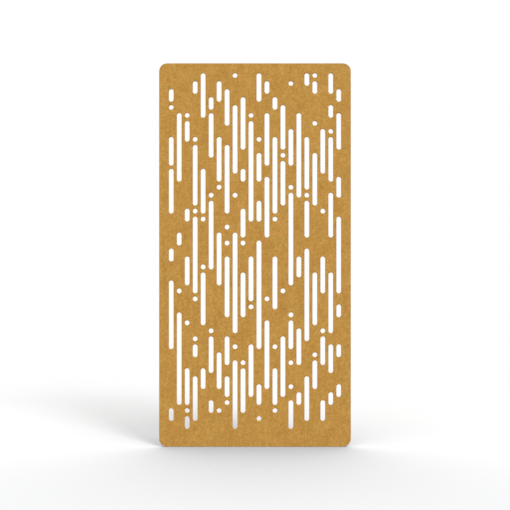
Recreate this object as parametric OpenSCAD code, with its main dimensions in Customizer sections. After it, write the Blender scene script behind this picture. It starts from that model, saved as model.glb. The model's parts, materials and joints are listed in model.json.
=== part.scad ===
// Hanging acoustic screen: one stiff felt sheet, pierced by round dots and upright slots on a square
// grid, that hangs on two thin wires from two grippers hidden in its top edge.
// Frame: X across the screen, Y through it with the front at -Y, Z up. The origin is the middle of the
// top edge, where the two wires carry the screen. Millimetres.

/* [Sheet] */
// Width of the sheet
panel_w = 1200; // [600:50:1600]
// Height of the sheet
panel_h = 2400; // [1200:50:3000]
// Thickness of the sheet
panel_t = 12; // [10:1:24]
// Radius of the four corners
corner_r = 50; // [10:5:70]

/* [Pierced pattern] */
// Width of every slot, and diameter of every dot
slot_w = 30; // [16:1:34]
// Distance between the centre lines of neighbouring columns
pitch_x = 50; // [40:5:80]
// Distance between the centres of neighbouring rows
pitch_y = 50; // [40:5:80]
// Least distance from a side edge to the first column's centre line
side_margin = 75; // [75:5:150]
// Distance from the top edge to the first row's centre
top_margin = 75; // [75:5:150]
// Least distance from the last row's centre to the bottom edge
bottom_margin = 125; // [125:25:225]

/* [Wire grippers] */
// Distance from each side edge to the wire
wire_inset = 200; // [100:10:250]
// Diameter of the hanging wire
wire_d = 1.2; // [1:0.1:1.5]
// Diameter of each gripping ball
ball_d = 1.4; // [1.2:0.1:1.6]
// Number of gripping balls round the wire
ball_count = 3; // [2:1:4]
// Half angle of the cone that wedges the balls onto the wire
cone_angle = 7; // [6:0.5:9]
// How far the release nozzle is pressed in to free the wire
release_travel = 1.5; // [1:0.1:1.8]
// Length of the gripper's barrel
barrel_l = 22; // [20:1:24]
// Wall of the barrel round its chamber
barrel_wall = 0.65; // [0.5:0.05:0.8]
// How far the barrel's head reaches past its thread
barrel_lip = 0.8; // [0.6:0.05:0.9]
// Thickness of the barrel's head
barrel_head_t = 0.7; // [0.5:0.1:1]
// Wire diameter of the return spring
spring_wire_d = 0.4; // [0.3:0.05:0.5]
// Number of open turns of the return spring
spring_turns = 7; // [5:1:9]

/* [Edge plates and sleeves] */
// Length of the edge plate
plate_l = 36; // [32:1:50]
// Width of the edge plate
plate_w = 9; // [8.8:0.2:11]
// Thickness of the edge plate
plate_t = 1.5; // [1.4:0.1:2.5]
// Distance from the plate's end to its screw
screw_inset = 6; // [5:0.5:7]
// Diameter of the plate screws
screw_d = 3; // [2.5:0.1:3.5]
// Diameter of the plate screws' countersunk heads
screw_head_d = 5.6; // [5:0.2:6]
// Length of the plate screws
screw_l = 16; // [12:1:30]
// Length of the anchor sleeve
sleeve_l = 42; // [38:1:52]
// Wall of the anchor sleeve
sleeve_wall = 0.9; // [0.6:0.05:1.1]
// Height of the rings that key the anchor sleeve into its glue
ring_h = 0.3; // [0.2:0.05:0.4]
// Distance between those rings
ring_pitch = 5; // [4:0.5:8]

/* [Clearances] */
// Gap round what slides, on the radius
run_gap = 0.05; // [0.02:0.01:0.1]
// Gap round the wire in the nozzle's bore, on the radius
wire_gap = 0.1; // [0.08:0.01:0.15]
// Gap between the edge plate and its recess
recess_gap = 0.1; // [0.05:0.05:0.3]
// Gap between the anchor sleeve's rings and its pocket, filled with glue, on the radius
glue_gap = 0.05; // [0.05:0.01:0.2]

/* [Hidden] */
$fn = 72;
// Overshoot of every cut past the face that it opens
cut = 1;

// Sides, seen from the front
LEFT = -1;
RIGHT = 1;

// The pattern: for each column, left to right, the first and last row of each slot, from the top down.
// A slot with the same first and last row is a dot. Wider or taller sheets start the pattern again.
PATTERN_ROWS = 45;
COLUMNS = [
    [[3, 4], [5, 5], [9, 12], [13, 18], [23, 24], [27, 35], [43, 44]],
    [[6, 14], [21, 22], [28, 28], [31, 42]],
    [[6, 6], [7, 9], [18, 19], [24, 27], [32, 32], [38, 42], [43, 43], [44, 45]],
    [[2, 3], [9, 9], [10, 17], [18, 18], [19, 28], [29, 29], [34, 34], [35, 36], [39, 44]],
    [[1, 6], [13, 18], [19, 19], [25, 25], [26, 32], [38, 40]],
    [[4, 5], [6, 11], [16, 16], [17, 25], [33, 33], [34, 38], [42, 43]],
    [[2, 4], [9, 14], [15, 15], [21, 27], [36, 40], [43, 43]],
    [[3, 7], [10, 18], [20, 20], [22, 22], [24, 31], [34, 37], [39, 41], [42, 42]],
    [[1, 1], [5, 13], [16, 16], [21, 33], [35, 35], [37, 45]],
    [[4, 10], [13, 14], [18, 21], [22, 22], [26, 31], [37, 37], [38, 43]],
    [[6, 6], [7, 19], [24, 29], [30, 30], [35, 41]],
    [[1, 4], [9, 9], [11, 14], [17, 19], [22, 35], [40, 42], [44, 44]],
    [[2, 3], [6, 12], [14, 21], [29, 29], [32, 40]],
    [[4, 5], [9, 18], [19, 19], [24, 30], [35, 35], [38, 42], [43, 43]],
    [[5, 10], [11, 11], [12, 17], [28, 28], [34, 41]],
    [[2, 2], [8, 12], [15, 15], [16, 27], [31, 31], [32, 35], [37, 37], [40, 40], [42, 45]],
    [[6, 16], [24, 26], [33, 37], [41, 42]],
    [[1, 2], [9, 15], [16, 16], [17, 21], [23, 34], [39, 44]],
    [[1, 1], [2, 3], [7, 7], [11, 17], [26, 32], [36, 36], [37, 40]],
    [[8, 13], [18, 18], [24, 28], [33, 33], [34, 37], [42, 44]],
    [[1, 3], [5, 6], [8, 8], [9, 14], [16, 21], [26, 33], [35, 38], [41, 42]],
    [[3, 4], [6, 10], [14, 16], [19, 28], [30, 31], [35, 36], [40, 41]]
];

// Columns and rows that fit between the margins
column_count = floor((panel_w - 2 * side_margin) / pitch_x) + 1;
row_count = floor((panel_h - top_margin - bottom_margin) / pitch_y) + 1;

// Where each wire comes out of the top edge
wire_x = panel_w / 2 - wire_inset;

// Nozzle: bore, stem, cage for the balls and seat for the spring
stem_wall = 0.5;
cage_wall = 0.8;
bore_r = wire_d / 2 + wire_gap;
stem_r = bore_r + stem_wall;
cage_r = bore_r + cage_wall;
ball_centre_r = (wire_d + ball_d) / 2;
ball_reach = ball_centre_r + ball_d / 2;
cage_tail = 1.8;
seat_r = ball_reach;
seat_t = 0.8;
nozzle_chamfer = 0.25;

// Barrel: mouth round the stem, guide round the cage, cone, chamber
mouth_l = 2.2;
guide_l = 1.5;
mouth_r = stem_r + run_gap;
guide_r = cage_r + run_gap;
ball_gap = 0.02;
chamber_room = 0.35;
chamber_r = ball_reach + chamber_room;
barrel_r = chamber_r + barrel_wall;
head_r = barrel_r + barrel_lip;
notch_w = 1;
notch_depth = barrel_lip - 0.2;

// Heights in the gripper, all below the top edge
z_ledge = -mouth_l;
z_shoulder = z_ledge - run_gap;
z_cone_top = z_ledge - guide_l;
ball_contact_r = ball_centre_r + (ball_d / 2 + ball_gap) / cos(cone_angle);
z_ball = z_cone_top - (ball_contact_r - guide_r) / tan(cone_angle);
z_chamber = z_cone_top - (chamber_r - guide_r) / tan(cone_angle);
z_seat_top = z_ball - cage_tail;
z_seat = z_seat_top - seat_t;

// Cap: plug inside the barrel, head under it, bore for the end of the wire
plug_l = 3;
cap_head_t = 0.8;
cap_head_r = barrel_r - 0.3;
cap_bore_r = bore_r + 0.3;
driver_slot_w = 0.8;
driver_slot_h = 0.5;
z_barrel_end = -barrel_l;
z_plug_top = z_barrel_end + plug_l;
z_cap_end = z_barrel_end - cap_head_t;

// Return spring, between the nozzle's seat and the cap
SPRING_SIDES = 8;
SPRING_STEPS = 16;
spring_edge_gap = 0.1;
spring_close_gap = 0.03;
spring_r = seat_r - spring_edge_gap - spring_wire_d / 2;
spring_close_climb = spring_wire_d + spring_close_gap;
spring_open_climb = (z_seat - z_plug_top - spring_wire_d - 2 * spring_close_climb) / spring_turns;

// Anchor sleeve and its pocket in the sheet
sleeve_r = barrel_r + sleeve_wall;
ring_r = sleeve_r + ring_h;
pocket_r = ring_r + glue_gap;
pocket_gap = 0.5;
sleeve_floor_t = 1.5;
sleeve_chamfer = 0.8;
ring_margin = 4;
wire_room_r = cap_bore_r + 0.6;
z_sleeve_top = -plate_t;
z_sleeve_end = z_sleeve_top - sleeve_l;
z_bore_end = z_cap_end - 0.6;
ring_count = floor((sleeve_l - 2 * ring_margin) / ring_pitch) + 1;

// Plate screws
screw_head_h = 1.2;
screw_tip_l = 3;
screw_x = plate_l / 2 - screw_inset;
driver_hex_d = 2.2;
driver_hex_h = 0.9;

function column_x(i) = (i - (column_count - 1) / 2) * pitch_x;
function row_z(row) = -top_margin - (row - 1) * pitch_y;

// A slot with round ends from one row to another, drawn in X and Z
module slot_outline(x, first, last) {
    z_high = row_z(first);
    z_low = row_z(last);
    translate([x, z_high])
        circle(d = slot_w);
    if (last > first) {
        translate([x, z_low])
            circle(d = slot_w);
        translate([x - slot_w / 2, z_low])
            square([slot_w, z_high - z_low]);
    }
}

// Every slot of one column, started again below the pattern's last row and ended at the sheet's last row
module column_outlines(i) {
    column = COLUMNS[i % len(COLUMNS)];
    for (start = [0:PATTERN_ROWS:row_count - 1])
        for (rows = column)
            if (start + rows[0] <= row_count)
                slot_outline(column_x(i), start + rows[0], min(start + rows[1], row_count));
}

// The sheet's outline with its four round corners, drawn in X and Z below the top edge
module sheet_outline() {
    translate([-panel_w / 2 + corner_r, -panel_h])
        square([panel_w - 2 * corner_r, panel_h]);
    translate([-panel_w / 2, -panel_h + corner_r])
        square([panel_w, panel_h - 2 * corner_r]);
    for (x = [-1, 1], z = [-corner_r, -panel_h + corner_r])
        translate([x * (panel_w / 2 - corner_r), z])
            circle(r = corner_r, $fn = 120);
}

// A bar with round ends, from z down to z - h, centred on the wire
module obround(length, width, z, h) {
    translate([0, 0, z - h])
        linear_extrude(height = h) {
            square([length - width, width], center = true);
            for (side = [LEFT, RIGHT])
                translate([side * (length - width) / 2, 0])
                    circle(d = width);
        }
}

// What the sheet's top edge is cut out for: the plate, the sleeve and the two screws
module fixing_pocket() {
    obround(plate_l + 2 * recess_gap, plate_w + 2 * recess_gap, cut, plate_t + cut);
    translate([0, 0, z_sleeve_end - pocket_gap])
        cylinder(r = pocket_r, h = sleeve_l + pocket_gap + plate_t);
    for (side = [LEFT, RIGHT])
        translate([side * screw_x, 0, -screw_l])
            cylinder(d = screw_d, h = screw_l);
}

module felt_sheet() {
    color([0.725, 0.553, 0.282])
        difference() {
            rotate([90, 0, 0])
                linear_extrude(height = panel_t, center = true)
                    difference() {
                        sheet_outline();
                        for (i = [0:column_count - 1])
                            column_outlines(i);
                    }
            for (side = [LEFT, RIGHT])
                translate([side * wire_x, 0, 0])
                    fixing_pocket();
        }
}

// Stainless plate, let in flush with the top edge
module edge_plate() {
    color("silver")
        difference() {
            obround(plate_l, plate_w, 0, plate_t);
            translate([0, 0, -barrel_head_t])
                cylinder(r = head_r + run_gap, h = barrel_head_t + cut);
            translate([0, 0, -plate_t - cut])
                cylinder(r = barrel_r + run_gap, h = plate_t + 2 * cut);
            for (side = [LEFT, RIGHT])
                translate([side * screw_x, 0, 0]) {
                    translate([0, 0, -screw_head_h])
                        cylinder(d1 = screw_d, d2 = screw_head_d, h = screw_head_h);
                    translate([0, 0, -plate_t - cut])
                        cylinder(d = screw_d, h = plate_t + cut);
                }
        }
}

// Countersunk screw with a hexagon socket, its head's face at z = 0
module plate_screw() {
    color("gainsboro")
        difference() {
            rotate_extrude()
                polygon([
                    [0, 0],
                    [screw_head_d / 2, 0],
                    [screw_d / 2, -screw_head_h],
                    [screw_d / 2, -screw_l + screw_tip_l],
                    [0, -screw_l]
                ]);
            translate([0, 0, -driver_hex_h])
                cylinder(d = driver_hex_d, h = driver_hex_h + cut, $fn = 6);
        }
}

// Outline of one keying ring: it swells from the sleeve towards the pocket's wall and back
function ring_outline(z) = [
    [sleeve_r, z + 2 * ring_h],
    [ring_r, z + ring_h],
    [ring_r, z - ring_h],
    [sleeve_r, z - 2 * ring_h]
];

// Aluminium sleeve, glued into the sheet under the plate: the barrel screws into it, and the end of
// the wire has room below
module anchor_sleeve() {
    rings = [
        for (k = [0:ring_count - 1]) each ring_outline(z_sleeve_top - ring_margin - k * ring_pitch)
    ];
    color("lightgray")
        rotate_extrude()
            polygon(concat(
                [[barrel_r, z_sleeve_top], [sleeve_r, z_sleeve_top]],
                rings,
                [
                    [sleeve_r, z_sleeve_end + sleeve_chamfer],
                    [sleeve_r - sleeve_chamfer, z_sleeve_end],
                    [0, z_sleeve_end],
                    [0, z_sleeve_end + sleeve_floor_t],
                    [wire_room_r, z_sleeve_end + sleeve_floor_t],
                    [wire_room_r, z_bore_end],
                    [barrel_r, z_bore_end]
                ]
            ));
}

// Barrel of the gripper: its cone narrows upwards, so that the wire's pull wedges the balls
module gripper_barrel() {
    color("goldenrod")
        difference() {
            rotate_extrude()
                polygon([
                    [mouth_r, 0],
                    [head_r, 0],
                    [head_r, -barrel_head_t],
                    [barrel_r, -barrel_head_t],
                    [barrel_r, z_barrel_end],
                    [chamber_r, z_barrel_end],
                    [chamber_r, z_chamber],
                    [guide_r, z_cone_top],
                    [guide_r, z_ledge],
                    [mouth_r, z_ledge]
                ]);
            for (side = [LEFT, RIGHT])
                translate([side * head_r, 0, 0])
                    cube([2 * notch_depth, notch_w, 2 * (barrel_head_t + cut)], center = true);
        }
}

// Release nozzle with the cage for the balls, one turned piece: it stands above the top edge by as
// much as it travels, so that it is flush when it is pressed
module release_nozzle() {
    color("gold")
        difference() {
            rotate_extrude()
                polygon([
                    [bore_r + nozzle_chamfer, release_travel],
                    [stem_r - nozzle_chamfer, release_travel],
                    [stem_r, release_travel - nozzle_chamfer],
                    [stem_r, z_shoulder],
                    [cage_r, z_shoulder],
                    [cage_r, z_seat_top],
                    [seat_r, z_seat_top],
                    [seat_r, z_seat],
                    [bore_r, z_seat],
                    [bore_r, release_travel - nozzle_chamfer]
                ]);
            for (k = [0:ball_count - 1])
                rotate([0, 0, k * 360 / ball_count])
                    translate([0, 0, z_ball])
                        rotate([0, 90, 0])
                            cylinder(d = ball_d + 2 * run_gap, h = cage_r + cut);
        }
}

module gripper_balls() {
    color("dimgray")
        for (k = [0:ball_count - 1])
            rotate([0, 0, k * 360 / ball_count])
                translate([ball_centre_r, 0, z_ball])
                    sphere(d = ball_d, $fn = 36);
}

// Height of the spring's wire after a number of turns: one close turn at each end, open ones between
function spring_height(turn) =
    spring_close_climb * (min(turn, 1) + max(turn - 1 - spring_turns, 0))
    + spring_open_climb * min(max(turn - 1, 0), spring_turns);

// Ring of points round the spring's wire, square to its run
function spring_ring(turn) =
    let (
        angle = 360 * turn,
        climb = turn < 1 || turn > 1 + spring_turns ? spring_close_climb : spring_open_climb,
        slope = atan(climb / (2 * PI * spring_r)),
        outward = [cos(angle), sin(angle), 0],
        upward = [sin(angle) * sin(slope), -cos(angle) * sin(slope), cos(slope)],
        centre = spring_r * outward + [0, 0, z_plug_top + spring_wire_d / 2 + spring_height(turn)]
    )
    [
        for (k = [0:SPRING_SIDES - 1])
            let (side = 360 * k / SPRING_SIDES)
            centre + spring_wire_d / 2 * (cos(side) * outward + sin(side) * upward)
    ];

// Return spring: one wire, wound closely at its ends
module return_spring() {
    rings = SPRING_STEPS * (spring_turns + 2);
    points = [for (i = [0:rings]) each spring_ring(i / SPRING_STEPS)];
    walls = [
        for (i = [0:rings - 1], k = [0:SPRING_SIDES - 1])
            let (
                here = i * SPRING_SIDES,
                above = here + SPRING_SIDES,
                next = (k + 1) % SPRING_SIDES
            )
            each [
                [here + k, above + next, above + k],
                [here + k, here + next, above + next]
            ]
    ];
    ends = [
        [for (k = [SPRING_SIDES - 1:-1:0]) k],
        [for (k = [0:SPRING_SIDES - 1]) rings * SPRING_SIDES + k]
    ];
    color("slategray")
        polyhedron(points, concat(walls, ends));
}

// Screw cap that closes the barrel and carries the spring
module barrel_cap() {
    color("darkgoldenrod")
        difference() {
            rotate_extrude()
                polygon([
                    [cap_bore_r, z_plug_top],
                    [chamber_r, z_plug_top],
                    [chamber_r, z_barrel_end],
                    [cap_head_r, z_barrel_end],
                    [cap_head_r, z_cap_end],
                    [cap_bore_r, z_cap_end]
                ]);
            translate([0, 0, z_cap_end])
                cube([2 * barrel_r, driver_slot_w, 2 * driver_slot_h], center = true);
        }
}

// Every screw of both plates
module plate_screws() {
    for (side = [LEFT, RIGHT], end = [LEFT, RIGHT])
        translate([side * wire_x + end * screw_x, 0, 0])
            plate_screw();
}

// Puts a fixing's piece at the left or the right wire
module at_wire(side) {
    translate([side * wire_x, 0, 0])
        children();
}

felt_sheet();
at_wire(LEFT) edge_plate();  // edge_plate_left
at_wire(RIGHT) edge_plate();  // edge_plate_right
plate_screws();
at_wire(LEFT) anchor_sleeve();  // anchor_sleeve_left
at_wire(RIGHT) anchor_sleeve();  // anchor_sleeve_right
at_wire(LEFT) gripper_barrel();  // gripper_barrel_left
at_wire(RIGHT) gripper_barrel();  // gripper_barrel_right
at_wire(LEFT) release_nozzle();  // release_nozzle_left
at_wire(RIGHT) release_nozzle();  // release_nozzle_right
at_wire(LEFT) gripper_balls();  // gripper_balls_left
at_wire(RIGHT) gripper_balls();  // gripper_balls_right
at_wire(LEFT) return_spring();  // return_spring_left
at_wire(RIGHT) return_spring();  // return_spring_right
at_wire(LEFT) barrel_cap();  // barrel_cap_left
at_wire(RIGHT) barrel_cap();  // barrel_cap_right
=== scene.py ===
"""Looks of the hanging acoustic screen: a pierced felt board with two wire grippers in its top edge.

Metres throughout. X runs across the screen, Y through it with the front at -Y, and Z up from the middle
of the top edge.
"""

import json
import logging
import math
from abc import ABC, abstractmethod
from dataclasses import dataclass
from enum import Enum
from typing import Any

import bmesh
import bpy
from mathutils import Matrix, Vector


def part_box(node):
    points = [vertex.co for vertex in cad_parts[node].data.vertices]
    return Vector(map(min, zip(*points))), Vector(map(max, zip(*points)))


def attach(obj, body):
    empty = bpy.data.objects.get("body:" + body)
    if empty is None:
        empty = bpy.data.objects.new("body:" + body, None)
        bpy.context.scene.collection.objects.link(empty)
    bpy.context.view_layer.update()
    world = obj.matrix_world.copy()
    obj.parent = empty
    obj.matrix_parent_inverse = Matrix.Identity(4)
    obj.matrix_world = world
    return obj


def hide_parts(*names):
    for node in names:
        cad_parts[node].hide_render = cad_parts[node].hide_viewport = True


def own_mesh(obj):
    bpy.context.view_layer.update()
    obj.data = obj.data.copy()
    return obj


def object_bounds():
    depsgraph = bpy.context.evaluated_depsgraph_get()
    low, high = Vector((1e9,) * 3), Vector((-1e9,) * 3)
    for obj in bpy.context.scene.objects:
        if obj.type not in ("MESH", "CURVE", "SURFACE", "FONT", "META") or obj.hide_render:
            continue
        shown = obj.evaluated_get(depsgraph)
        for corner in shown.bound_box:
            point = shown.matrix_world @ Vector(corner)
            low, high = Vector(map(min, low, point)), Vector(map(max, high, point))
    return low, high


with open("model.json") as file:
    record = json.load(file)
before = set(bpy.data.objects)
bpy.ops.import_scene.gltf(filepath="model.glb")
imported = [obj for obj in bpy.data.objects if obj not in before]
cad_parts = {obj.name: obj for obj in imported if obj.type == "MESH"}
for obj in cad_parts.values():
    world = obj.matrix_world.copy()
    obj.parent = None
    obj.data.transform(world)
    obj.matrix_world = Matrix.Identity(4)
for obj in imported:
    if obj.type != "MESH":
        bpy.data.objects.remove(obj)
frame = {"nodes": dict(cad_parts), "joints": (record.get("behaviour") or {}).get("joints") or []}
CAD_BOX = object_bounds()
WIRE_X = sum(corner[0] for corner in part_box("gripper_barrel_right")) / 2

LOG = logging.getLogger("acoustic_screen")
MM = 0.001
WELD = 1e-6
FLAT_ANGLE = math.radians(0.5)
CORNER_ANGLE = math.radians(30)
SHARP_ANGLE = math.radians(50)
SMOOTH_CORNERS = 4
ROUND_PROFILE = 0.5
KEEP_MATERIAL = -1
NOISE_MIDDLE = 0.5

# The curve between a screen's values and light
BRIGHTEST = 255.0
DIM_LIMIT = 0.04045
DIM_SLOPE = 12.92
CURVE_OFFSET = 0.055
CURVE_POWER = 2.4

# Numbers of the sockets of a node that mixes two colours
MIX_SHARE = 0
MIX_FIRST = 6
MIX_SECOND = 7
MIX_RESULT = 2

Colour = tuple[float, float, float, float]


class Side(Enum):
    """The two wires, seen from the front."""

    LEFT = "left"
    RIGHT = "right"


class Grain(Enum):
    """How a metal surface was last worked."""

    BRUSHED = "brushed"
    TURNED = "turned"
    TUMBLED = "tumbled"


def light_level(shown: float) -> float:
    """The light that a screen gives for a value.

    Args:
        shown: The value, from 0 to 1.

    Returns:
        The light, from 0 to 1.
    """
    if shown <= DIM_LIMIT:
        return shown / DIM_SLOPE
    return ((shown + CURVE_OFFSET) / (1.0 + CURVE_OFFSET)) ** CURVE_POWER


def screen_colour(red: int, green: int, blue: int) -> Colour:
    """A colour as it looks on a screen, for a shader.

    Args:
        red: From 0 to 255.
        green: From 0 to 255.
        blue: From 0 to 255.

    Returns:
        The linear colour, with an alpha of 1.
    """
    return (*(light_level(value / BRIGHTEST) for value in (red, green, blue)), 1.0)


class Sock:
    """A node's output that takes part in sums, so that shader maths reads as expressions."""

    def __init__(self, graph: "Graph", socket: bpy.types.NodeSocket) -> None:
        """Keeps the output and its graph.

        Args:
            graph: The graph that the Math nodes go into.
            socket: The output.
        """
        self.graph = graph
        self.socket = socket

    def __add__(self, other: "Sock | float") -> "Sock":
        """This plus a value."""
        return self.graph.math("ADD", self, other)

    def __radd__(self, other: float) -> "Sock":
        """A number plus this."""
        return self.graph.math("ADD", other, self)

    def __sub__(self, other: "Sock | float") -> "Sock":
        """This minus a value."""
        return self.graph.math("SUBTRACT", self, other)

    def __rsub__(self, other: float) -> "Sock":
        """A number minus this."""
        return self.graph.math("SUBTRACT", other, self)

    def __mul__(self, other: "Sock | float") -> "Sock":
        """This times a value."""
        return self.graph.math("MULTIPLY", self, other)

    def __rmul__(self, other: float) -> "Sock":
        """A number times this."""
        return self.graph.math("MULTIPLY", other, self)

    def __pow__(self, other: float) -> "Sock":
        """This to a power."""
        return self.graph.math("POWER", self, other)

    def __abs__(self) -> "Sock":
        """This without its sign."""
        return self.graph.math("ABSOLUTE", self)


class Graph:
    """The node graph of a material or of the world."""

    def __init__(self, owner: bpy.types.Material | bpy.types.World) -> None:
        """Empties the owner's graph.

        Args:
            owner: What the graph belongs to.
        """
        owner.use_nodes = True
        self.tree = owner.node_tree
        self.tree.nodes.clear()

    def node(
        self,
        kind: str,
        settings: dict[str, Any] | None = None,
        sockets: dict[str | int, Any] | None = None,
    ) -> bpy.types.Node:
        """Adds a node.

        Args:
            kind: Its type, without the ShaderNode before it.
            settings: Its properties, such as a Math node's operation. They are set first.
            sockets: Values or links for its inputs, by name or number.

        Returns:
            The node.
        """
        made = self.tree.nodes.new(f"ShaderNode{kind}")
        for name, value in (settings or {}).items():
            setattr(made, name, value)
        for key, value in (sockets or {}).items():
            if isinstance(value, Sock):
                self.tree.links.new(value.socket, made.inputs[key])
            else:
                made.inputs[key].default_value = value
        return made

    def out(self, node: bpy.types.Node, key: str | int = 0) -> Sock:
        """One output of a node, by name or number."""
        return Sock(self, node.outputs[key])

    def math(self, operation: str, first: Sock | float, second: Sock | float = 0.0) -> Sock:
        """A Math node's result."""
        return self.out(self.node("Math", {"operation": operation}, {0: first, 1: second}))

    def place(self) -> Sock:
        """Where the shaded point is on the object, in metres."""
        return self.out(self.node("TexCoord"), "Object")

    def parts(self, vector: Sock) -> tuple[Sock, Sock, Sock]:
        """The X, Y and Z of a vector."""
        split = self.node("SeparateXYZ", None, {0: vector})
        return self.out(split, 0), self.out(split, 1), self.out(split, 2)

    def vector(self, x: Sock | float, y: Sock | float, z: Sock | float) -> Sock:
        """A vector from its three parts."""
        return self.out(self.node("CombineXYZ", None, {0: x, 1: y, 2: z}))

    def noise(
        self,
        place: Sock,
        size: float,
        detail: float = 2.0,
        start: tuple[float, float, float] = (0.0, 0.0, 0.0),
        turn: tuple[float, float, float] = (0.0, 0.0, 0.0),
        stretch: tuple[float, float, float] = (1.0, 1.0, 1.0),
    ) -> Sock:
        """Smooth noise about one half.

        Args:
            place: Where the point is.
            size: Width of one blotch, in metres.
            detail: Number of finer layers in it.
            start: The pattern's own origin, so that two patterns of one size differ.
            turn: Rotation of stretched blotches, in radians.
            stretch: How many times longer a blotch is along each of its axes.

        Returns:
            The noise, from 0 to 1.
        """
        own = self.node(
            "Mapping",
            {"vector_type": "TEXTURE"},
            {"Vector": place, "Location": start, "Rotation": turn, "Scale": stretch},
        )
        pattern = self.node(
            "TexNoise", None, {"Vector": self.out(own), "Scale": 1.0 / size, "Detail": detail}
        )
        return self.out(pattern)

    def warped(self, place: Sock, size: float, reach: float) -> Sock:
        """A place moved about by smooth noise, so that straight patterns bend.

        Args:
            place: Where the point is.
            size: Width of one bend, in metres.
            reach: How far a place may move, in metres.

        Returns:
            The moved place.
        """
        bends = self.node("TexNoise", None, {"Vector": place, "Scale": 1.0 / size})
        moved = self.node(
            "VectorMath",
            {"operation": "MULTIPLY_ADD"},
            {0: self.out(bends, "Color"), 1: (reach, reach, reach), 2: place},
        )
        return self.out(moved)

    def step(self, value: Sock, low: float, high: float) -> Sock:
        """A soft step.

        Args:
            value: What is tested.
            low: Below this the step is 0.
            high: Above this the step is 1.

        Returns:
            The step, from 0 to 1.
        """
        made = self.node(
            "MapRange",
            {"interpolation_type": "SMOOTHSTEP"},
            {"Value": value, "From Min": low, "From Max": high},
        )
        return self.out(made)

    def mixed(self, share: Sock, first: Sock | Colour, second: Sock | Colour) -> Sock:
        """Two colours mixed.

        Args:
            share: How much of the second one there is.
            first: The colour at a share of 0.
            second: The colour at a share of 1.

        Returns:
            The colour.
        """
        made = self.node(
            "Mix",
            {"data_type": "RGBA"},
            {MIX_SHARE: share, MIX_FIRST: first, MIX_SECOND: second},
        )
        return self.out(made, MIX_RESULT)

    def shaded(self, colour: Sock, factor: Sock) -> Sock:
        """A colour times a factor about 1."""
        return self.out(
            self.node("VectorMath", {"operation": "SCALE"}, {0: colour, "Scale": factor})
        )

    def tinted(self, colour: Sock, tint: Sock) -> Sock:
        """A colour times another one."""
        return self.out(self.node("VectorMath", {"operation": "MULTIPLY"}, {0: colour, 1: tint}))

    def bumped(self, height: Sock) -> Sock:
        """The normal of a surface with a height in millimetres."""
        return self.out(self.node("Bump", None, {"Distance": MM, "Height": height}))

    def shader_mix(self, share: Sock, first: Sock, second: Sock) -> Sock:
        """Two shaders mixed, with share the second one's part."""
        return self.out(self.node("MixShader", None, {0: share, 1: first, 2: second}))

    def seen(self) -> Sock:
        """Tells what the camera sees, straight, in metal or through glass, from light on its way.

        Returns:
            1 for what is seen and 0 for light on its way.
        """
        path = self.node("LightPath")
        names = ("Is Camera Ray", "Is Glossy Ray", "Is Transmission Ray")
        camera, glossy, transmission = (self.out(path, name) for name in names)
        return self.math("MAXIMUM", camera, self.math("MAXIMUM", glossy, transmission))


@dataclass(frozen=True)
class Finish(ABC):
    """A surface finish of the screen."""

    name: str

    @abstractmethod
    def sockets(self, graph: Graph) -> dict[str, Any]:
        """What goes into the shader.

        Args:
            graph: The material's graph.

        Returns:
            Values and links by the names of the shader's inputs.
        """

    def material(self) -> bpy.types.Material:
        """Makes the material once and finds it again after that.

        Returns:
            The material.
        """
        made = bpy.data.materials.get(self.name)
        if made is None:
            made = bpy.data.materials.new(self.name)
            graph = Graph(made)
            shader = graph.node("BsdfPrincipled", None, self.sockets(graph))
            graph.node("OutputMaterial", None, {"Surface": graph.out(shader)})
        return made


@dataclass(frozen=True)
class Layer:
    """One layer of a mottled surface.

    Attributes:
        size: Width of a blotch, in metres.
        share: How far the blotches move the tone.
        height: How far they raise the surface, in millimetres.
        stretch: How many times longer a blotch is along each axis.
        detail: Number of finer layers in it.
    """

    size: float
    share: float
    height: float = 0.0
    stretch: tuple[float, float, float] = (1.0, 1.0, 1.0)
    detail: float = 2.0


@dataclass(frozen=True)
class Strands:
    """Pale and dark strands of one kind that lie every way in the sheet's plane.

    Attributes:
        width: Width of the blotches of noise that the strands are cut from, in metres.
        length: How many times longer than wide they are.
        edge: The noise at which a strand begins and at which it is full.
        share: How far the strands move the tone.
        height: How far the pale ones stand out and the dark ones lie deeper, in millimetres.
        bend: Width of one bend, in metres.
        bend_reach: How far a bend moves a strand, in metres.
        start: The pattern's own origin, so that two kinds differ.
        pale_turns: Directions of the pale strands, in radians.
        dark_turns: Directions of the dark strands, in radians.
        detail: Number of finer layers in the noise.
    """

    width: float
    length: float
    edge: tuple[float, float]
    share: float
    height: float
    bend: float
    bend_reach: float
    start: float
    pale_turns: tuple[float, ...] = (0.25, 1.3, 2.4)
    dark_turns: tuple[float, ...] = (0.75, 1.85, 2.9)
    detail: float = 1.0

    def lines(self, graph: Graph, place: Sock, turns: tuple[float, ...]) -> Sock:
        """Strands in a few directions.

        Args:
            graph: The material's graph.
            place: Where the point is.
            turns: The directions, in radians.

        Returns:
            1 on a strand and 0 beside it.
        """
        found = None
        for turn in turns:
            line = graph.noise(
                place,
                self.width,
                detail=self.detail,
                start=(self.start + turn, 0.0, 0.0),
                turn=(0.0, turn, 0.0),
                stretch=(self.length, 1.0, 1.0),
            )
            strand = graph.step(line, *self.edge)
            found = strand if found is None else graph.math("MAXIMUM", found, strand)
        return found

    def drawn(self, graph: Graph, place: Sock) -> Sock:
        """1 on a pale strand, -1 on a dark one and 0 beside them."""
        bent = graph.warped(place, self.bend, self.bend_reach)
        return self.lines(graph, bent, self.pale_turns) - self.lines(graph, bent, self.dark_turns)


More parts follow.
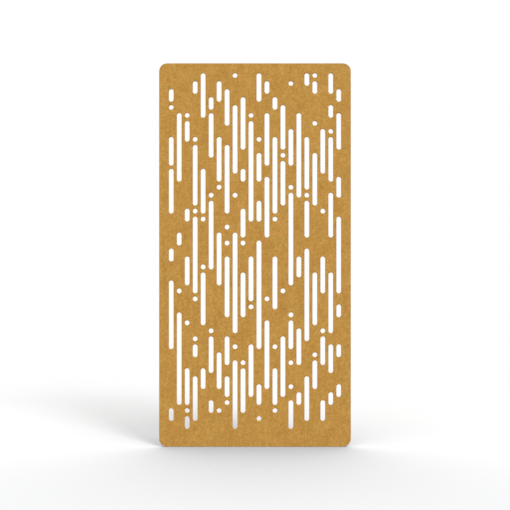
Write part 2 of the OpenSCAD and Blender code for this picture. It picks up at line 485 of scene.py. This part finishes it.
@dataclass(frozen=True)
class FeltFace(Finish):
    """Front and back of the felt: fibres pressed flat every way, faint tufts and small knots.

    The tone is 0 at the dark colour and 1 at the pale one. Layers, strands and knots move it from the
    middle, and the warm and cool tints change its hue a little.

    Attributes:
        dark: The felt's darkest colour.
        pale: Its palest one.
        cloud: Broad soft blotches.
        mottle: Blotches a few fingers wide.
        combed: Upright streaks from the carding.
        lump: Small lumps.
        grain: The finest grain.
        tufts: Flat tufts of fibre.
        fibres: Single fibres.
        warm: The warm tint.
        cool: The cool tint.
        hue_size: Width of a tinted patch, in metres.
        hue_start: The patches' own origin.
        hue_edge: The noise between which cool turns to warm.
        knot_pitch: Distance between knots, in metres.
        knot_size: Where a knot's middle ends and where its rim ends, as shares of the pitch.
        knot_share: How far a knot moves the tone.
        knot_bend: Width of one bend in a knot's outline, in metres.
        knot_reach: How far a bend moves it, in metres.
        middle_tone: The tone without blotches.
    """

    name: str = "felt_face"
    dark: Colour = screen_colour(154, 104, 31)
    pale: Colour = screen_colour(214, 168, 90)
    cloud: Layer = Layer(110 * MM, 0.32)
    mottle: Layer = Layer(30 * MM, 0.19)
    combed: Layer = Layer(16 * MM, 0.21, stretch=(1.0, 1.0, 6.0), detail=1.0)
    lump: Layer = Layer(7 * MM, 0.25, 0.25, detail=1.0)
    grain: Layer = Layer(1.2 * MM, 0.5, 0.06)
    tufts: Strands = Strands(5 * MM, 7.0, (0.54, 0.66), 0.21, 0.08, 70 * MM, 45 * MM, 3.0)
    fibres: Strands = Strands(0.32 * MM, 24.0, (0.55, 0.68), 0.24, 0.05, 7 * MM, 3 * MM, 7.0)
    warm: Colour = (1.015, 0.992, 0.995, 1.0)
    cool: Colour = (0.985, 1.008, 1.005, 1.0)
    hue_size: float = 60 * MM
    hue_start: tuple[float, float, float] = (3.0, 0.0, 0.0)
    hue_edge: tuple[float, float] = (0.38, 0.62)
    knot_pitch: float = 45 * MM
    knot_size: tuple[float, float] = (0.01, 0.07)
    knot_share: float = 0.8
    knot_bend: float = 7 * MM
    knot_reach: float = 3 * MM
    middle_tone: float = 0.5
    roughness: float = 0.93
    specular: float = 0.2
    sheen: float = 0.04
    sheen_roughness: float = 0.6

    def knots(self, graph: Graph, place: Sock) -> Sock:
        """Small knots of fibre.

        Args:
            graph: The material's graph.
            place: Where the point is.

        Returns:
            -1 in the darkest knot, 1 in the palest one and 0 between the knots.
        """
        x, _, z = graph.parts(graph.warped(place, self.knot_bend, self.knot_reach))
        cells = graph.node(
            "TexVoronoi",
            {"voronoi_dimensions": "2D"},
            {"Vector": graph.vector(x, z, 0.0), "Scale": 1.0 / self.knot_pitch},
        )
        inside = 1.0 - graph.step(graph.out(cells, "Distance"), *self.knot_size)
        chance = graph.parts(graph.out(cells, "Color"))[0]
        return inside * (2.0 * chance - 1.0)

    def sockets(self, graph: Graph) -> dict[str, Any]:
        """What goes into the felt's shader.

        Args:
            graph: The material's graph.

        Returns:
            Values and links by the names of the shader's inputs.
        """
        place = graph.place()
        tone = self.middle_tone + self.knot_share * self.knots(graph, place)
        height = 0.0
        for strands in (self.tufts, self.fibres):
            drawn = strands.drawn(graph, place)
            tone = tone + strands.share * drawn
            height = height + strands.height * drawn
        for layer in (self.cloud, self.mottle, self.combed, self.lump, self.grain):
            noise = graph.noise(place, layer.size, layer.detail, stretch=layer.stretch)
            blotch = noise - NOISE_MIDDLE
            tone = tone + layer.share * blotch
            height = height + layer.height * blotch
        hue = graph.step(graph.noise(place, self.hue_size, start=self.hue_start), *self.hue_edge)
        tint = graph.mixed(hue, self.cool, self.warm)
        return {
            "Base Color": graph.tinted(graph.mixed(tone, self.dark, self.pale), tint),
            "Roughness": self.roughness,
            "Specular IOR Level": self.specular,
            "Sheen Weight": self.sheen,
            "Sheen Roughness": self.sheen_roughness,
            "Sheen Tint": self.pale,
            "Normal": graph.bumped(height),
        }


@dataclass(frozen=True)
class FeltCut(Finish):
    """The felt's knife-cut edge: the layers that it was pressed from, painted shade in the gaps between
    them, and the ends of its fibres.

    Attributes:
        base: The edge's own colour.
        painted_gap_shade: Painted shade in the gaps between layers.
        tip: On the ends of fibres.
        layer: Thickness of one layer, in metres.
        layer_length: How many times longer than thick a layer's bits are.
        layer_detail: Number of finer layers in the noise.
        layer_height: How far the layers stand out, in millimetres.
        gap_edge: The noise at which a gap is full and at which it ends.
        gap_shade_share: How dark the painted shade in a gap is.
        end: Width of a fibre's end, in metres.
        end_detail: Number of finer layers in the noise.
        end_height: How far the ends stand out, in millimetres.
        end_edge: The noise at which an end begins and at which it is full.
        end_share: How pale an end is.
        end_shade: How far the ends shade the edge.
        blotch: Width of a blotch, in metres.
        blotch_shade: How far the blotches shade the edge.
    """

    name: str = "felt_cut"
    base: Colour = screen_colour(182, 137, 68)
    # Painted shade: the colour of the gaps between layers.
    painted_gap_shade: Colour = screen_colour(148, 106, 46)
    tip: Colour = screen_colour(212, 170, 104)
    layer: float = 0.7 * MM
    layer_length: float = 3.5
    layer_detail: float = 3.0
    layer_height: float = 0.20
    gap_edge: tuple[float, float] = (0.38, 0.52)
    gap_shade_share: float = 0.4
    end: float = 0.3 * MM
    end_detail: float = 1.0
    end_height: float = 0.10
    end_edge: tuple[float, float] = (0.58, 0.72)
    end_share: float = 0.35
    end_shade: float = 0.20
    blotch: float = 9 * MM
    blotch_shade: float = 0.16
    roughness: float = 0.95
    specular: float = 0.2
    sheen: float = 0.15
    sheen_roughness: float = 0.6

    def sockets(self, graph: Graph) -> dict[str, Any]:
        """What goes into the cut edge's shader.

        Args:
            graph: The material's graph.

        Returns:
            Values and links by the names of the shader's inputs.
        """
        place = graph.place()
        along = (self.layer_length, 1.0, self.layer_length)
        layers = graph.noise(place, self.layer, self.layer_detail, stretch=along)
        ends = graph.noise(place, self.end, self.end_detail)
        blotch = graph.noise(place, self.blotch)
        # Painted shade: the colour goes darker in the gaps between layers, where the bumped surface
        # dips.
        gap_shade_mask = 1.0 - graph.step(layers, *self.gap_edge)
        colour = graph.mixed(self.gap_shade_share * gap_shade_mask, self.base, self.painted_gap_shade)
        colour = graph.mixed(self.end_share * graph.step(ends, *self.end_edge), colour, self.tip)
        shade = 1.0 + self.blotch_shade * (blotch - NOISE_MIDDLE)
        colour = graph.shaded(colour, shade + self.end_shade * (ends - NOISE_MIDDLE))
        return {
            "Base Color": colour,
            "Roughness": self.roughness,
            "Specular IOR Level": self.specular,
            "Sheen Weight": self.sheen,
            "Sheen Roughness": self.sheen_roughness,
            "Sheen Tint": self.tip,
            "Normal": graph.bumped(self.layer_height * layers + self.end_height * ends),
        }


@dataclass(frozen=True)
class Metal(Finish):
    """Bare or plated metal with the marks of its making.

    Attributes:
        colour: The clean metal.
        tarnish: Its stains.
        grain: How it was last worked.
        roughness: Its mean roughness.
        mark: Width of one mark, in metres.
        mark_detail: Number of finer layers in the marks.
        mark_depth: Depth of the marks, in millimetres.
        mark_spread: How far the marks change the roughness.
        mark_shade: How far they shade the colour.
        brushed_length: How many times longer than wide a brushed mark is.
        tumbled_width: How many times wider than the others a tumbled mark is.
        tumbled_detail: Number of finer layers in the tumbled marks.
        stain: Width of one stain, in metres.
        stain_detail: Number of finer layers in the stains.
        stain_edge: The noise at which a stain begins and at which it is full.
        stain_share: How much tarnish a full stain has.
        stain_roughness: How much rougher a full stain is.
    """

    colour: Colour
    tarnish: Colour
    grain: Grain
    roughness: float
    mark: float = 0.07 * MM
    mark_detail: float = 2.0
    mark_depth: float = 0.004
    mark_spread: float = 0.16
    mark_shade: float = 0.14
    brushed_length: float = 60.0
    tumbled_width: float = 3.0
    tumbled_detail: float = 3.0
    stain: float = 4 * MM
    stain_detail: float = 3.0
    stain_edge: tuple[float, float] = (0.42, 0.70)
    stain_share: float = 0.3
    stain_roughness: float = 0.10

    def marks(self, graph: Graph, place: Sock) -> Sock:
        """The tool's or the tumbler's marks.

        Args:
            graph: The material's graph.
            place: Where the point is.

        Returns:
            The marks' height, from 0 to 1.
        """
        if self.grain is Grain.BRUSHED:
            along = (self.brushed_length, 1.0, 1.0)
            return graph.noise(place, self.mark, self.mark_detail, stretch=along)
        if self.grain is Grain.TURNED:
            x, y, z = graph.parts(place)
            across = abs(x) - WIRE_X
            radius = (across * across + y * y) ** 0.5
            return graph.noise(graph.vector(radius, 0.0, z), self.mark, self.mark_detail)
        return graph.noise(place, self.tumbled_width * self.mark, self.tumbled_detail)

    def sockets(self, graph: Graph) -> dict[str, Any]:
        """What goes into the metal's shader.

        Args:
            graph: The material's graph.

        Returns:
            Values and links by the names of the shader's inputs.
        """
        place = graph.place()
        marks = self.marks(graph, place)
        stain = graph.step(graph.noise(place, self.stain, self.stain_detail), *self.stain_edge)
        colour = graph.mixed(self.stain_share * stain, self.colour, self.tarnish)
        colour = graph.shaded(colour, 1.0 + self.mark_shade * (marks - NOISE_MIDDLE))
        dulled = self.roughness + self.mark_spread * (marks - NOISE_MIDDLE)
        return {
            "Base Color": colour,
            "Metallic": 1.0,
            "Roughness": dulled + self.stain_roughness * stain,
            "Normal": graph.bumped(self.mark_depth * marks),
        }


STAINLESS = Metal(
    "brushed_stainless",
    screen_colour(196, 195, 191),
    screen_colour(168, 165, 158),
    Grain.BRUSHED,
    roughness=0.34,
)
ZINC = Metal(
    "blue_zinc",
    screen_colour(192, 198, 204),
    screen_colour(160, 160, 150),
    Grain.TUMBLED,
    roughness=0.36,
)
ALUMINIUM = Metal(
    "satin_aluminium",
    screen_colour(205, 206, 208),
    screen_colour(176, 176, 176),
    Grain.TURNED,
    roughness=0.40,
)
NICKEL = Metal(
    "nickelled_brass_turned",
    screen_colour(208, 202, 190),
    screen_colour(184, 170, 144),
    Grain.TURNED,
    roughness=0.22,
)
BALL_STEEL = Metal(
    "polished_ball_steel",
    screen_colour(190, 190, 194),
    screen_colour(170, 168, 166),
    Grain.TUMBLED,
    roughness=0.10,
    mark_spread=0.05,
    mark_depth=0.0005,
)
SPRING_STEEL = Metal(
    "drawn_spring_steel",
    screen_colour(150, 150, 152),
    screen_colour(112, 106, 100),
    Grain.TUMBLED,
    roughness=0.34,
)
BRASS = Metal(
    "turned_brass",
    screen_colour(206, 174, 106),
    screen_colour(160, 124, 66),
    Grain.TURNED,
    roughness=0.30,
)


def merged_copy(node: str) -> bmesh.types.BMesh:
    """A CAD node's mesh with its triangles joined and its flat faces made whole.

    Args:
        node: The node's name.

    Returns:
        A new bmesh.
    """
    made = bmesh.new()
    made.from_mesh(frame["nodes"][node].data)
    bmesh.ops.remove_doubles(made, verts=made.verts, dist=WELD)
    bmesh.ops.dissolve_limit(
        made, angle_limit=FLAT_ANGLE, verts=made.verts, edges=made.edges, delimit={"NORMAL"}
    )
    return made


def rounded(mesh: bmesh.types.BMesh, edges: list[bmesh.types.BMEdge], width: float, rows: int) -> None:
    """Rounds edges over.

    Args:
        mesh: The mesh.
        edges: The edges to round.
        width: How far the rounding reaches from each edge.
        rows: Number of faces across the rounding.
    """
    bmesh.ops.bevel(
        mesh,
        geom=edges,
        offset=width,
        offset_type="OFFSET",
        affect="EDGES",
        segments=rows,
        profile=ROUND_PROFILE,
        material=KEEP_MATERIAL,
        loop_slide=False,
        clamp_overlap=False,
    )


def put_in_order(mesh: bmesh.types.BMesh) -> None:
    """Numbers a mesh's corners by place and the rest by corners, as a spin's order differs at each run.

    Args:
        mesh: The mesh, with no two corners in one place.
    """
    for number, vert in enumerate(sorted(mesh.verts, key=lambda vert: vert.co[:])):
        vert.index = number
    for parts in (mesh.edges, mesh.faces):
        ranked = sorted(parts, key=lambda part: sorted(vert.index for vert in part.verts))
        for number, part in enumerate(ranked):
            part.index = number
    for parts in (mesh.verts, mesh.edges, mesh.faces):
        parts.sort()


def finished_piece(mesh: bmesh.types.BMesh, name: str) -> bpy.types.Object:
    """Turns a bmesh into an object, smooth across shallow angles and flat on whole faces.

    Args:
        mesh: The mesh, which is freed.
        name: The piece's name.

    Returns:
        The object, at the origin.
    """
    for face in mesh.faces:
        face.smooth = len(face.verts) <= SMOOTH_CORNERS
    for edge in mesh.edges:
        edge.smooth = edge.calc_face_angle(math.pi) < SHARP_ANGLE
    data = bpy.data.meshes.new(name)
    mesh.to_mesh(data)
    mesh.free()
    piece = bpy.data.objects.new(name, data)
    bpy.context.scene.collection.objects.link(piece)
    return piece


def put_on(piece: bpy.types.Object, body: str, node: str) -> None:
    """Makes a piece stand for a CAD node.

    Args:
        piece: The piece.
        body: The body that it moves with.
        node: The node that it replaces.
    """
    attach(piece, body)
    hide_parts(node)
    faces = len(piece.data.polygons)
    LOG.info("%s: %d faces, rides on %s, stands for %s", piece.name, faces, body, node)


@dataclass
class FeltBoard:
    """The pierced felt board, with its cut edges softened."""

    round_over: float = 0.5 * MM
    rows: int = 2
    face_lean: float = 0.9
    half: float = CAD_BOX[1][1]
    face: Finish = FeltFace()
    cut: Finish = FeltCut()

    def build(self) -> bpy.types.Object:
        """Builds and dresses the board.

        Returns:
            The board.
        """
        mesh = merged_copy("felt_sheet")
        rims = [
            edge
            for edge in mesh.edges
            if sum(self.is_face(face) for face in edge.link_faces) == 1
        ]
        rounded(mesh, rims, self.round_over, self.rows)
        for face in mesh.faces:
            face.material_index = 0 if self.is_face(face) else 1
        board = finished_piece(mesh, "felt_board")
        board.data.materials.append(self.face.material())
        board.data.materials.append(self.cut.material())
        put_on(board, "screen", "felt_sheet")
        return board

    def is_face(self, face: bmesh.types.BMFace) -> bool:
        """Whether a face belongs to the board's front or back."""
        outer = abs(face.calc_center_median().y) > self.half - self.round_over
        return outer and abs(face.normal.y) > self.face_lean


@dataclass
class MetalPart:
    """A metal part in a CAD node's shape, with its sharp edges broken."""

    node: str
    name: str
    body: str
    slot: str
    finish: Finish
    lowest: float = -math.inf
    round_over: float = 0.12 * MM
    rows: int = 2

    def build(self) -> bpy.types.Object:
        """Builds and dresses the part, with its corners above the lowest height rounded.

        Returns:
            The part.
        """
        mesh = merged_copy(self.node)
        corners = [
            edge
            for edge in mesh.edges
            if edge.calc_face_angle(0.0) > CORNER_ANGLE
            and all(vert.co.z > self.lowest for vert in edge.verts)
        ]
        rounded(mesh, corners, self.round_over, self.rows)
        piece = finished_piece(mesh, self.name)
        piece.data.materials.append(self.finish.material())
        put_on(piece, self.body, self.node)
        return piece


@dataclass
class ReturnSpring:
    """The spring below one nozzle: one wire, wound closely at its ends."""

    side: Side
    wire: float = 0.4 * MM
    wire_sides: int = 12
    steps: int = 28
    open_turns: int = 7
    close_turns: int = 1
    close_climb: float = 0.43 * MM
    finish: Finish = SPRING_STEEL

    def build(self) -> bpy.types.Object:
        """Winds the spring from its foot.

        Returns:
            The spring.
        """
        node = f"return_spring_{self.side.value}"
        low, high = (Vector(corner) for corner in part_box(node))
        foot = Vector(((low.x + high.x) / 2, (low.y + high.y) / 2, low.z + self.wire / 2))
        reach = Vector(((high.x - low.x - self.wire) / 2, 0.0, 0.0))
        rise = high.z - low.z - self.wire
        open_climb = (rise - 2 * self.close_turns * self.close_climb) / self.open_turns
        upright = Matrix.Translation(foot + reach) @ Matrix.Rotation(math.pi / 2, 4, "X")
        mesh = bmesh.new()
        bmesh.ops.create_circle(
            mesh, cap_ends=True, segments=self.wire_sides, radius=self.wire / 2, matrix=upright
        )
        end = [*mesh.verts, *mesh.edges, *mesh.faces]
        close = (self.close_turns, self.close_climb)
        for turns, climb in (close, (self.open_turns, open_climb), close):
            wound = bmesh.ops.spin(
                mesh,
                geom=end,
                cent=foot,
                axis=(0.0, 0.0, 1.0),
                dvec=(0.0, 0.0, climb / self.steps),
                angle=turns * math.tau,
                steps=turns * self.steps,
                use_merge=False,
            )
            end = wound["geom_last"]
        bmesh.ops.recalc_face_normals(mesh, faces=mesh.faces)
        put_in_order(mesh)
        spring = finished_piece(mesh, f"coil_spring_{self.side.value}")
        spring.data.materials.append(self.finish.material())
        put_on(spring, "screen", node)
        press = f"press_{self.side.value}"
        travel = next(joint["range_m"][1] for joint in frame["joints"] if joint["name"] == press)
        height = high.z - low.z
        (height - travel) / height
        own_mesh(spring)
        return spring


@dataclass
class EdgeFixing:
    """One wire's gripper in the top edge, with its plate and what is hidden below."""

    side: Side
    lowest_shown: float = -0.35 * MM
    fine: float = 0.07 * MM

    def parts(self) -> list[MetalPart]:
        """The parts whose edges show at the top edge.

        Returns:
            The plate, the barrel and the nozzle, unbuilt.
        """
        side = self.side.value
        return [
            MetalPart(f"edge_plate_{side}", f"top_plate_{side}", "screen", "stainless_plate", STAINLESS),
            MetalPart(
                f"gripper_barrel_{side}",
                f"barrel_{side}",
                "screen",
                "nickelled_brass",
                NICKEL,
                lowest=self.lowest_shown,
                round_over=self.fine,
            ),
            MetalPart(
                f"release_nozzle_{side}",
                f"nozzle_{side}",
                f"nozzle_{side}",
                "nickelled_brass",
                NICKEL,
                lowest=self.lowest_shown,
                round_over=self.fine,
            ),
        ]

    def build(self) -> None:
        """Builds the plate, the barrel, the nozzle and the spring, and dresses what is hidden."""
        for part in self.parts():
            part.build()
        ReturnSpring(self.side).build()
        side = self.side.value
        for node, finish in (
            (f"anchor_sleeve_{side}", ALUMINIUM),
            (f"gripper_balls_{side}", BALL_STEEL),
            (f"barrel_cap_{side}", BRASS),
        ):
            frame["nodes"][node].material_slots[0].material = finish.material()
            LOG.info("%s: its CAD mesh in %s", node, finish.name)


@dataclass
class Studio:
    """Pale floor, white surround, soft light and the camera."""

    floor_gap: float = 1 * MM
    floor_reach: float = 60.0
    floor_bounce: Colour = (0.12, 0.12, 0.12, 1.0)
    floor_front: Colour = (0.605, 0.612, 0.620, 1.0)
    floor_back: Colour = (0.64, 0.64, 0.64, 1.0)
    # Painted shade: a cool dark tint that the floor takes on where the screen hems it in. It deepens the
    # contact shadow and takes out the felt's warm bounce.
    painted_contact_shade: Colour = (0.38, 0.50, 0.64, 1.0)
    # How far the painted shade near the screen reaches, in metres.
    painted_shade_reach: float = 1.2
    paler_from: float = -1.0
    paler_to: float = 0.1
    white: Colour = (1.0, 1.0, 1.0, 1.0)
    white_strength: float = 1.0
    fade_behind: tuple[float, float] = (0.3, 3.2)
    fade_in_front: tuple[float, float] = (1.3, 5.0)
    dome: float = 1.25
    key_azimuth: float = math.radians(41)
    key_height: float = math.radians(42)
    key_spread: float = math.radians(20)
    key_strength: float = 1.68
    lens: float = 50.0
    sensor: float = 36.0
    camera_place: tuple[float, float, float] = (0.0, -4.44, -1.2)

    def floor(self) -> None:
        """A floor that keeps the shadow near the screen, deepened there with painted shade, and is plain
        white far from it.
        """
        mesh = bmesh.new()
        bmesh.ops.create_grid(mesh, x_segments=1, y_segments=1, size=self.floor_reach)
        floor_z = CAD_BOX[0][2] - self.floor_gap
        bmesh.ops.translate(mesh, verts=mesh.verts, vec=(0.0, 0.0, floor_z))
        floor = finished_piece(mesh, "studio_floor")
        material = bpy.data.materials.new("studio_floor")
        graph = Graph(material)
        depth = graph.parts(graph.place())[1]
        open_sky = graph.node("AmbientOcclusion", None, {"Distance": self.painted_shade_reach})
        colour = graph.mixed(
            graph.step(depth, self.paler_from, self.paler_to), self.floor_front, self.floor_back
        )
        # Painted shade near the screen: the floor's colour goes towards the cool dark tint where the
        # occlusion node finds the floor hemmed in.
        painted_shade_tint = graph.mixed(graph.out(open_sky, "AO"), self.painted_contact_shade, self.white)
        bounced = graph.out(graph.node("BsdfDiffuse", None, {"Color": self.floor_bounce}))
        near = graph.out(graph.node("BsdfDiffuse", None, {"Color": graph.tinted(colour, painted_shade_tint)}))
        glow = {"Color": self.white, "Strength": self.white_strength}
        far = graph.out(graph.node("Emission", None, glow))
        behind = graph.step(depth, *self.fade_behind)
        in_front = graph.step(-1.0 * depth, *self.fade_in_front)
        shown = graph.shader_mix(behind + in_front, near, far)
        surface = graph.shader_mix(graph.seen(), bounced, shown)
        graph.node("OutputMaterial", None, {"Surface": surface})
        floor.data.materials.append(material)

    def surround(self) -> None:
        """A white world that lights the screen softly from all sides."""
        world = bpy.data.worlds.new("studio_surround")
        graph = Graph(world)
        soft = {"Color": self.white, "Strength": self.dome}
        plain = {"Color": self.white, "Strength": self.white_strength}
        light = graph.out(graph.node("Background", None, soft))
        shown = graph.out(graph.node("Background", None, plain))
        graph.node("OutputWorld", None, {"Surface": graph.shader_mix(graph.seen(), light, shown)})
        bpy.context.scene.world = world

    def key(self) -> None:
        """One broad soft lamp, far off above and to the right of the camera."""
        data = bpy.data.lights.new("soft_key", "SUN")
        data.angle = self.key_spread
        data.energy = self.key_strength
        lamp = bpy.data.objects.new("soft_key", data)
        lamp.rotation_euler = (math.pi / 2 - self.key_height, 0.0, self.key_azimuth)
        bpy.context.scene.collection.objects.link(lamp)

    def camera(self) -> None:
        """The camera, level and square to the screen at half its height."""
        data = bpy.data.cameras.new("front_camera")
        data.lens = self.lens
        data.sensor_width = self.sensor
        camera = bpy.data.objects.new("front_camera", data)
        camera.location = self.camera_place
        camera.rotation_euler = (math.pi / 2, 0.0, 0.0)
        bpy.context.scene.collection.objects.link(camera)
        bpy.context.scene.camera = camera

    def build(self) -> None:
        """Sets the studio up."""
        self.floor()
        self.surround()
        self.key()
        self.camera()
        bpy.context.scene.view_settings.view_transform = "Standard"


def main() -> None:
    """Builds the screen's looks, then the studio."""
    logging.basicConfig(level=logging.INFO, format="%(message)s")
    FeltBoard().build()
    for side in Side:
        EdgeFixing(side).build()
    MetalPart("plate_screws", "countersunk_screws", "screen", "zinc_screw", ZINC).build()
    Studio().build()


if __name__ == "__main__":
    main()
